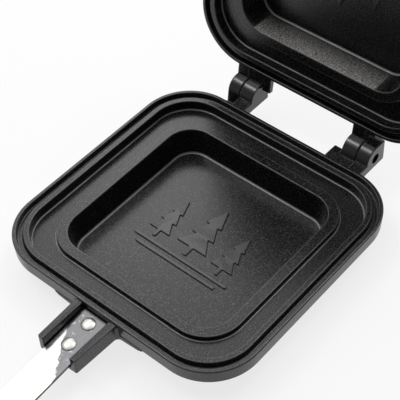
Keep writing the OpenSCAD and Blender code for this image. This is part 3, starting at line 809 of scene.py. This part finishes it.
# %% [markdown]
# ### Steel
# The straps are polished along their length, so their roughness is drawn out in fine lines. The
# rivets and the wire are bright steel with a softer, even wear.

# %% Steel
def steel(name, colour, across, along, rough, height):
    """Bare steel: across and along are the noise's scales, rough is the range of roughness."""
    material, tree, shader, bench = start(name)
    lines = use(tree, streaks, Across=across, Along=along, Detail=3.0)
    tree.links.new(bench, lines.inputs["Place"])
    darker = tuple(0.86 * c for c in colour)
    drawn = lines.outputs[0]
    tree.links.new(blend_colour(tree, drawn, darker, colour), shader.inputs["Base Color"])
    tree.links.new(to_range(tree, drawn, 0.3, 0.7, *rough), shader.inputs["Roughness"])
    shader.inputs["Metallic"].default_value = 1.0
    bump(tree, shader, drawn, height, 0.00005)
    return material


strap_steel = steel("strap_steel", (0.86, 0.87, 0.88), 2200.0, 25.0, (0.10, 0.24), 0.15)

# %% [markdown]
# Round its rivets, past a ragged line, the strap's polish turns to a darker grey in patches.
# Its sheared sides are dull and a little brown.

# %% Grey patch and sides of the straps
GREY_PATCH, SHEARED = (0.22, 0.22, 0.23), (0.16, 0.12, 0.09)
LINE_LEAN = 1.6                        # how far the grey patch's edge leans from square
LINE_FROM, LINE_TO = -0.0970, -0.0958  # where it lies along the strap, in metres on the bench
RAGGED_BY = 0.008                      # how far it wanders
SIDE_FROM, SIDE_TO = 0.00785, 0.00795  # the distance from the middle at which the side begins
tree = strap_steel.node_tree
shader = tree.nodes["Principled BSDF"]
bench = next(n for n in tree.nodes if n.type == "ATTRIBUTE").outputs["Vector"]
where = node(tree, "ShaderNodeSeparateXYZ")
tree.links.new(bench, where.inputs[0])
ragged = node(tree, "ShaderNodeTexNoise", Scale=260.0, Detail=3.0, Roughness=0.6)
tree.links.new(bench, ragged.inputs["Vector"])
shift = node(tree, "ShaderNodeMath", operation="MULTIPLY_ADD")
shift.inputs[1].default_value, shift.inputs[2].default_value = RAGGED_BY, -RAGGED_BY / 2
tree.links.new(ragged.outputs[0], shift.inputs[0])
lean = node(tree, "ShaderNodeMath", operation="MULTIPLY_ADD")
lean.inputs[1].default_value = LINE_LEAN
tree.links.new(where.outputs[0], lean.inputs[0])
tree.links.new(where.outputs[1], lean.inputs[2])
line = node(tree, "ShaderNodeMath", operation="ADD")
tree.links.new(lean.outputs[0], line.inputs[0])
tree.links.new(shift.outputs[0], line.inputs[1])
past_line = to_range(tree, line.outputs[0], LINE_FROM, LINE_TO, 0.0, 1.0)
patches = to_range(tree, ragged.outputs[0], 0.60, 0.74, 1.0, 0.30)
patch_mask = node(tree, "ShaderNodeMath", operation="MULTIPLY")
tree.links.new(past_line, patch_mask.inputs[0])
tree.links.new(patches, patch_mask.inputs[1])
polished = shader.inputs["Base Color"].links[0].from_socket
# Past the line the strap's colour turns a darker grey, in ragged patches.
greyed = blend_colour(tree, patch_mask.outputs[0], polished, GREY_PATCH)
across = node(tree, "ShaderNodeMath", operation="ABSOLUTE")
tree.links.new(where.outputs[0], across.inputs[0])
side = to_range(tree, across.outputs[0], SIDE_FROM, SIDE_TO, 0.0, 1.0)
tree.links.new(blend_colour(tree, side, greyed, SHEARED), shader.inputs["Base Color"])

# %% Rivets, wire and pins
rivet_steel = steel("rivet_steel", (0.62, 0.61, 0.58), 700.0, 700.0, (0.30, 0.45), 0.3)
wire_steel = steel("wire_steel", (0.75, 0.76, 0.78), 1500.0, 300.0, (0.20, 0.34), 0.2)
pin_steel = steel("pin_steel", (0.42, 0.42, 0.43), 900.0, 900.0, (0.30, 0.45), 0.3)

# %% [markdown]
# ### Oiled hardwood
# Long soft bands of darker late wood run down the scale, with short dark pores along them. The
# oil leaves it satin and a little deeper in colour where the grain is open.

# %% Wood
LATE_WOOD, EARLY_WOOD = (0.235, 0.105, 0.042), (0.42, 0.215, 0.095)
OPEN_PORE = (0.085, 0.036, 0.016)
wood, tree, shader, bench = start("oiled_hardwood")
bands = use(tree, streaks, Across=160.0, Along=7.0, Detail=5.0)
pores = use(tree, streaks, Across=1900.0, Along=75.0, Detail=2.0)
for g in (bands, pores):
    tree.links.new(bench, g.inputs["Place"])
band = to_range(tree, bands.outputs[0], 0.35, 0.65, 0.0, 1.0)
pore = to_range(tree, pores.outputs[0], 0.60, 0.70, 0.0, 0.7)
tone = blend_colour(tree, band, LATE_WOOD, EARLY_WOOD)
tree.links.new(blend_colour(tree, pore, tone, OPEN_PORE), shader.inputs["Base Color"])
tree.links.new(to_range(tree, pores.outputs[0], 0.3, 0.7, 0.42, 0.6), shader.inputs["Roughness"])
bump(tree, shader, pores.outputs[0], 0.25, 0.0001)

# %% Give every piece its finish
FINISH = {"casting": coating, "strip": strap_steel, "rivets": rivet_steel, "pegs": rivet_steel,
          "upper": wood, "lower": wood, "inner": wood, "outer": wood, "wire": wire_steel}
for name, piece in shown.items():
    piece.data.materials.clear()
    piece.data.materials.append(FINISH[name.split("_")[-1]])
for name in ("base_hinge_pin", "lid_hinge_pin"):
    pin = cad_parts[name]
    pin.data.materials.clear()
    pin.data.materials.append(pin_steel)

# %% [markdown]
# ## Floor, light and camera
# The iron lies on a white floor in even studio light. A white floor that was lit to pure white
# would throw a lot of light back at the iron, so the floor has two faces: rays that see it, from
# the camera, off a gloss or through glass, find it nearly white, and rays that only carry light
# find a grey one. The room around is plain and dim for every ray. The camera looks down from the
# right of the handle, at the angle at which the iron was photographed.

# %% Floor
FLOOR_SIZE = 20.0          # half its width in metres; only a very low view sees past it
GREY, WHITE = 0.42, 0.93   # the paper to rays that only carry light, and where it is seen
GLOW = 0.78                # share of plain white where it is seen; the rest shows the shadows


def seen_ray(tree):
    """1 for a ray that sees (from the camera, off a gloss or through glass), 0 for one that only
    carries light: the sum of the three, held at 1."""
    path = tree.nodes.new("ShaderNodeLightPath")
    total = path.outputs["Is Camera Ray"]
    for kind in ("Is Glossy Ray", "Is Transmission Ray"):
        add = node(tree, "ShaderNodeMath", operation="ADD")
        add.use_clamp = True
        tree.links.new(total, add.inputs[0])
        tree.links.new(path.outputs[kind], add.inputs[1])
        total = add.outputs[0]
    return total


floor_mesh = bpy.data.meshes.new("floor")
corner = FLOOR_SIZE * np.array([(-1, -1, 0), (1, -1, 0), (1, 1, 0), (-1, 1, 0)])
floor_mesh.from_pydata(corner.tolist(), [], [(0, 1, 2, 3)])
floor = bpy.data.objects.new("floor", floor_mesh)
bpy.context.collection.objects.link(floor)
paper = bpy.data.materials.new("paper")
paper.use_nodes = True
tree = paper.node_tree
tree.nodes.clear()
seen = seen_ray(tree)
matt = node(tree, "ShaderNodeBsdfDiffuse")
tree.links.new(to_range(tree, seen, 0.0, 1.0, GREY, WHITE), matt.inputs["Color"])
white = node(tree, "ShaderNodeEmission", Color=(1, 1, 1, 1), Strength=1.0)
mixed = tree.nodes.new("ShaderNodeMixShader")
tree.links.new(to_range(tree, seen, 0.0, 1.0, 0.0, GLOW), mixed.inputs[0])
tree.links.new(matt.outputs[0], mixed.inputs[1])
tree.links.new(white.outputs[0], mixed.inputs[2])
out = tree.nodes.new("ShaderNodeOutputMaterial")
tree.links.new(mixed.outputs[0], out.inputs["Surface"])
floor_mesh.materials.append(paper)

# %% Light
ROOM = 0.05     # strength of the dim room round the lamps
world = bpy.data.worlds.new("studio")
bpy.context.scene.world = world
world.use_nodes = True
tree = world.node_tree
sky = tree.nodes["Background"]
sky.inputs["Strength"].default_value = ROOM
sky.inputs["Color"].default_value = (1, 1, 1, 1)


def softbox(name, location, target, size, power):
    """A square area lamp that looks at a point."""
    lamp = bpy.data.lights.new(name, "AREA")
    lamp.shape, lamp.size, lamp.energy = "SQUARE", size, power
    holder = bpy.data.objects.new(name, lamp)
    aim = Vector(target) - Vector(location)
    turn = aim.to_track_quat("-Z", "Y").to_matrix().to_4x4()
    holder.matrix_world = Matrix.Translation(location) @ turn
    bpy.context.collection.objects.link(holder)


LAMPS = [
    # name, place, what it looks at, width, power in watts
    ("back", (-0.55, 0.55, 1.2), (-0.1, 0.1, 0), 2.8, 33),
    ("side", (-0.90, 0.86, 1.2), (0, 0, 0), 0.4, 1.3),
    ("front", (-0.66, -0.18, 1.4), (0, 0, 0), 0.4, 3.5),
    ("right", (0.12, 0.80, 1.4), (0, 0, 0), 0.4, 3.5),
]
for lamp_row in LAMPS:
    softbox(*lamp_row)
print(len(LAMPS), "lamps")

# %% Camera
# Solved from the photograph: the lens, the place and the turn that lay the pan's edges over it.
camera_data = bpy.data.cameras.new("camera")
camera_data.sensor_width, camera_data.lens = 36.0, 106.96
camera = bpy.data.objects.new("camera", camera_data)
bpy.context.collection.objects.link(camera)
camera.location = (0.25821, -0.27979, 0.45660)
camera.rotation_euler = tuple(math.radians(v) for v in (41.8756, 2.0078, 40.2528))
bpy.context.scene.camera = camera
bpy.context.scene.view_settings.view_transform = "Standard"
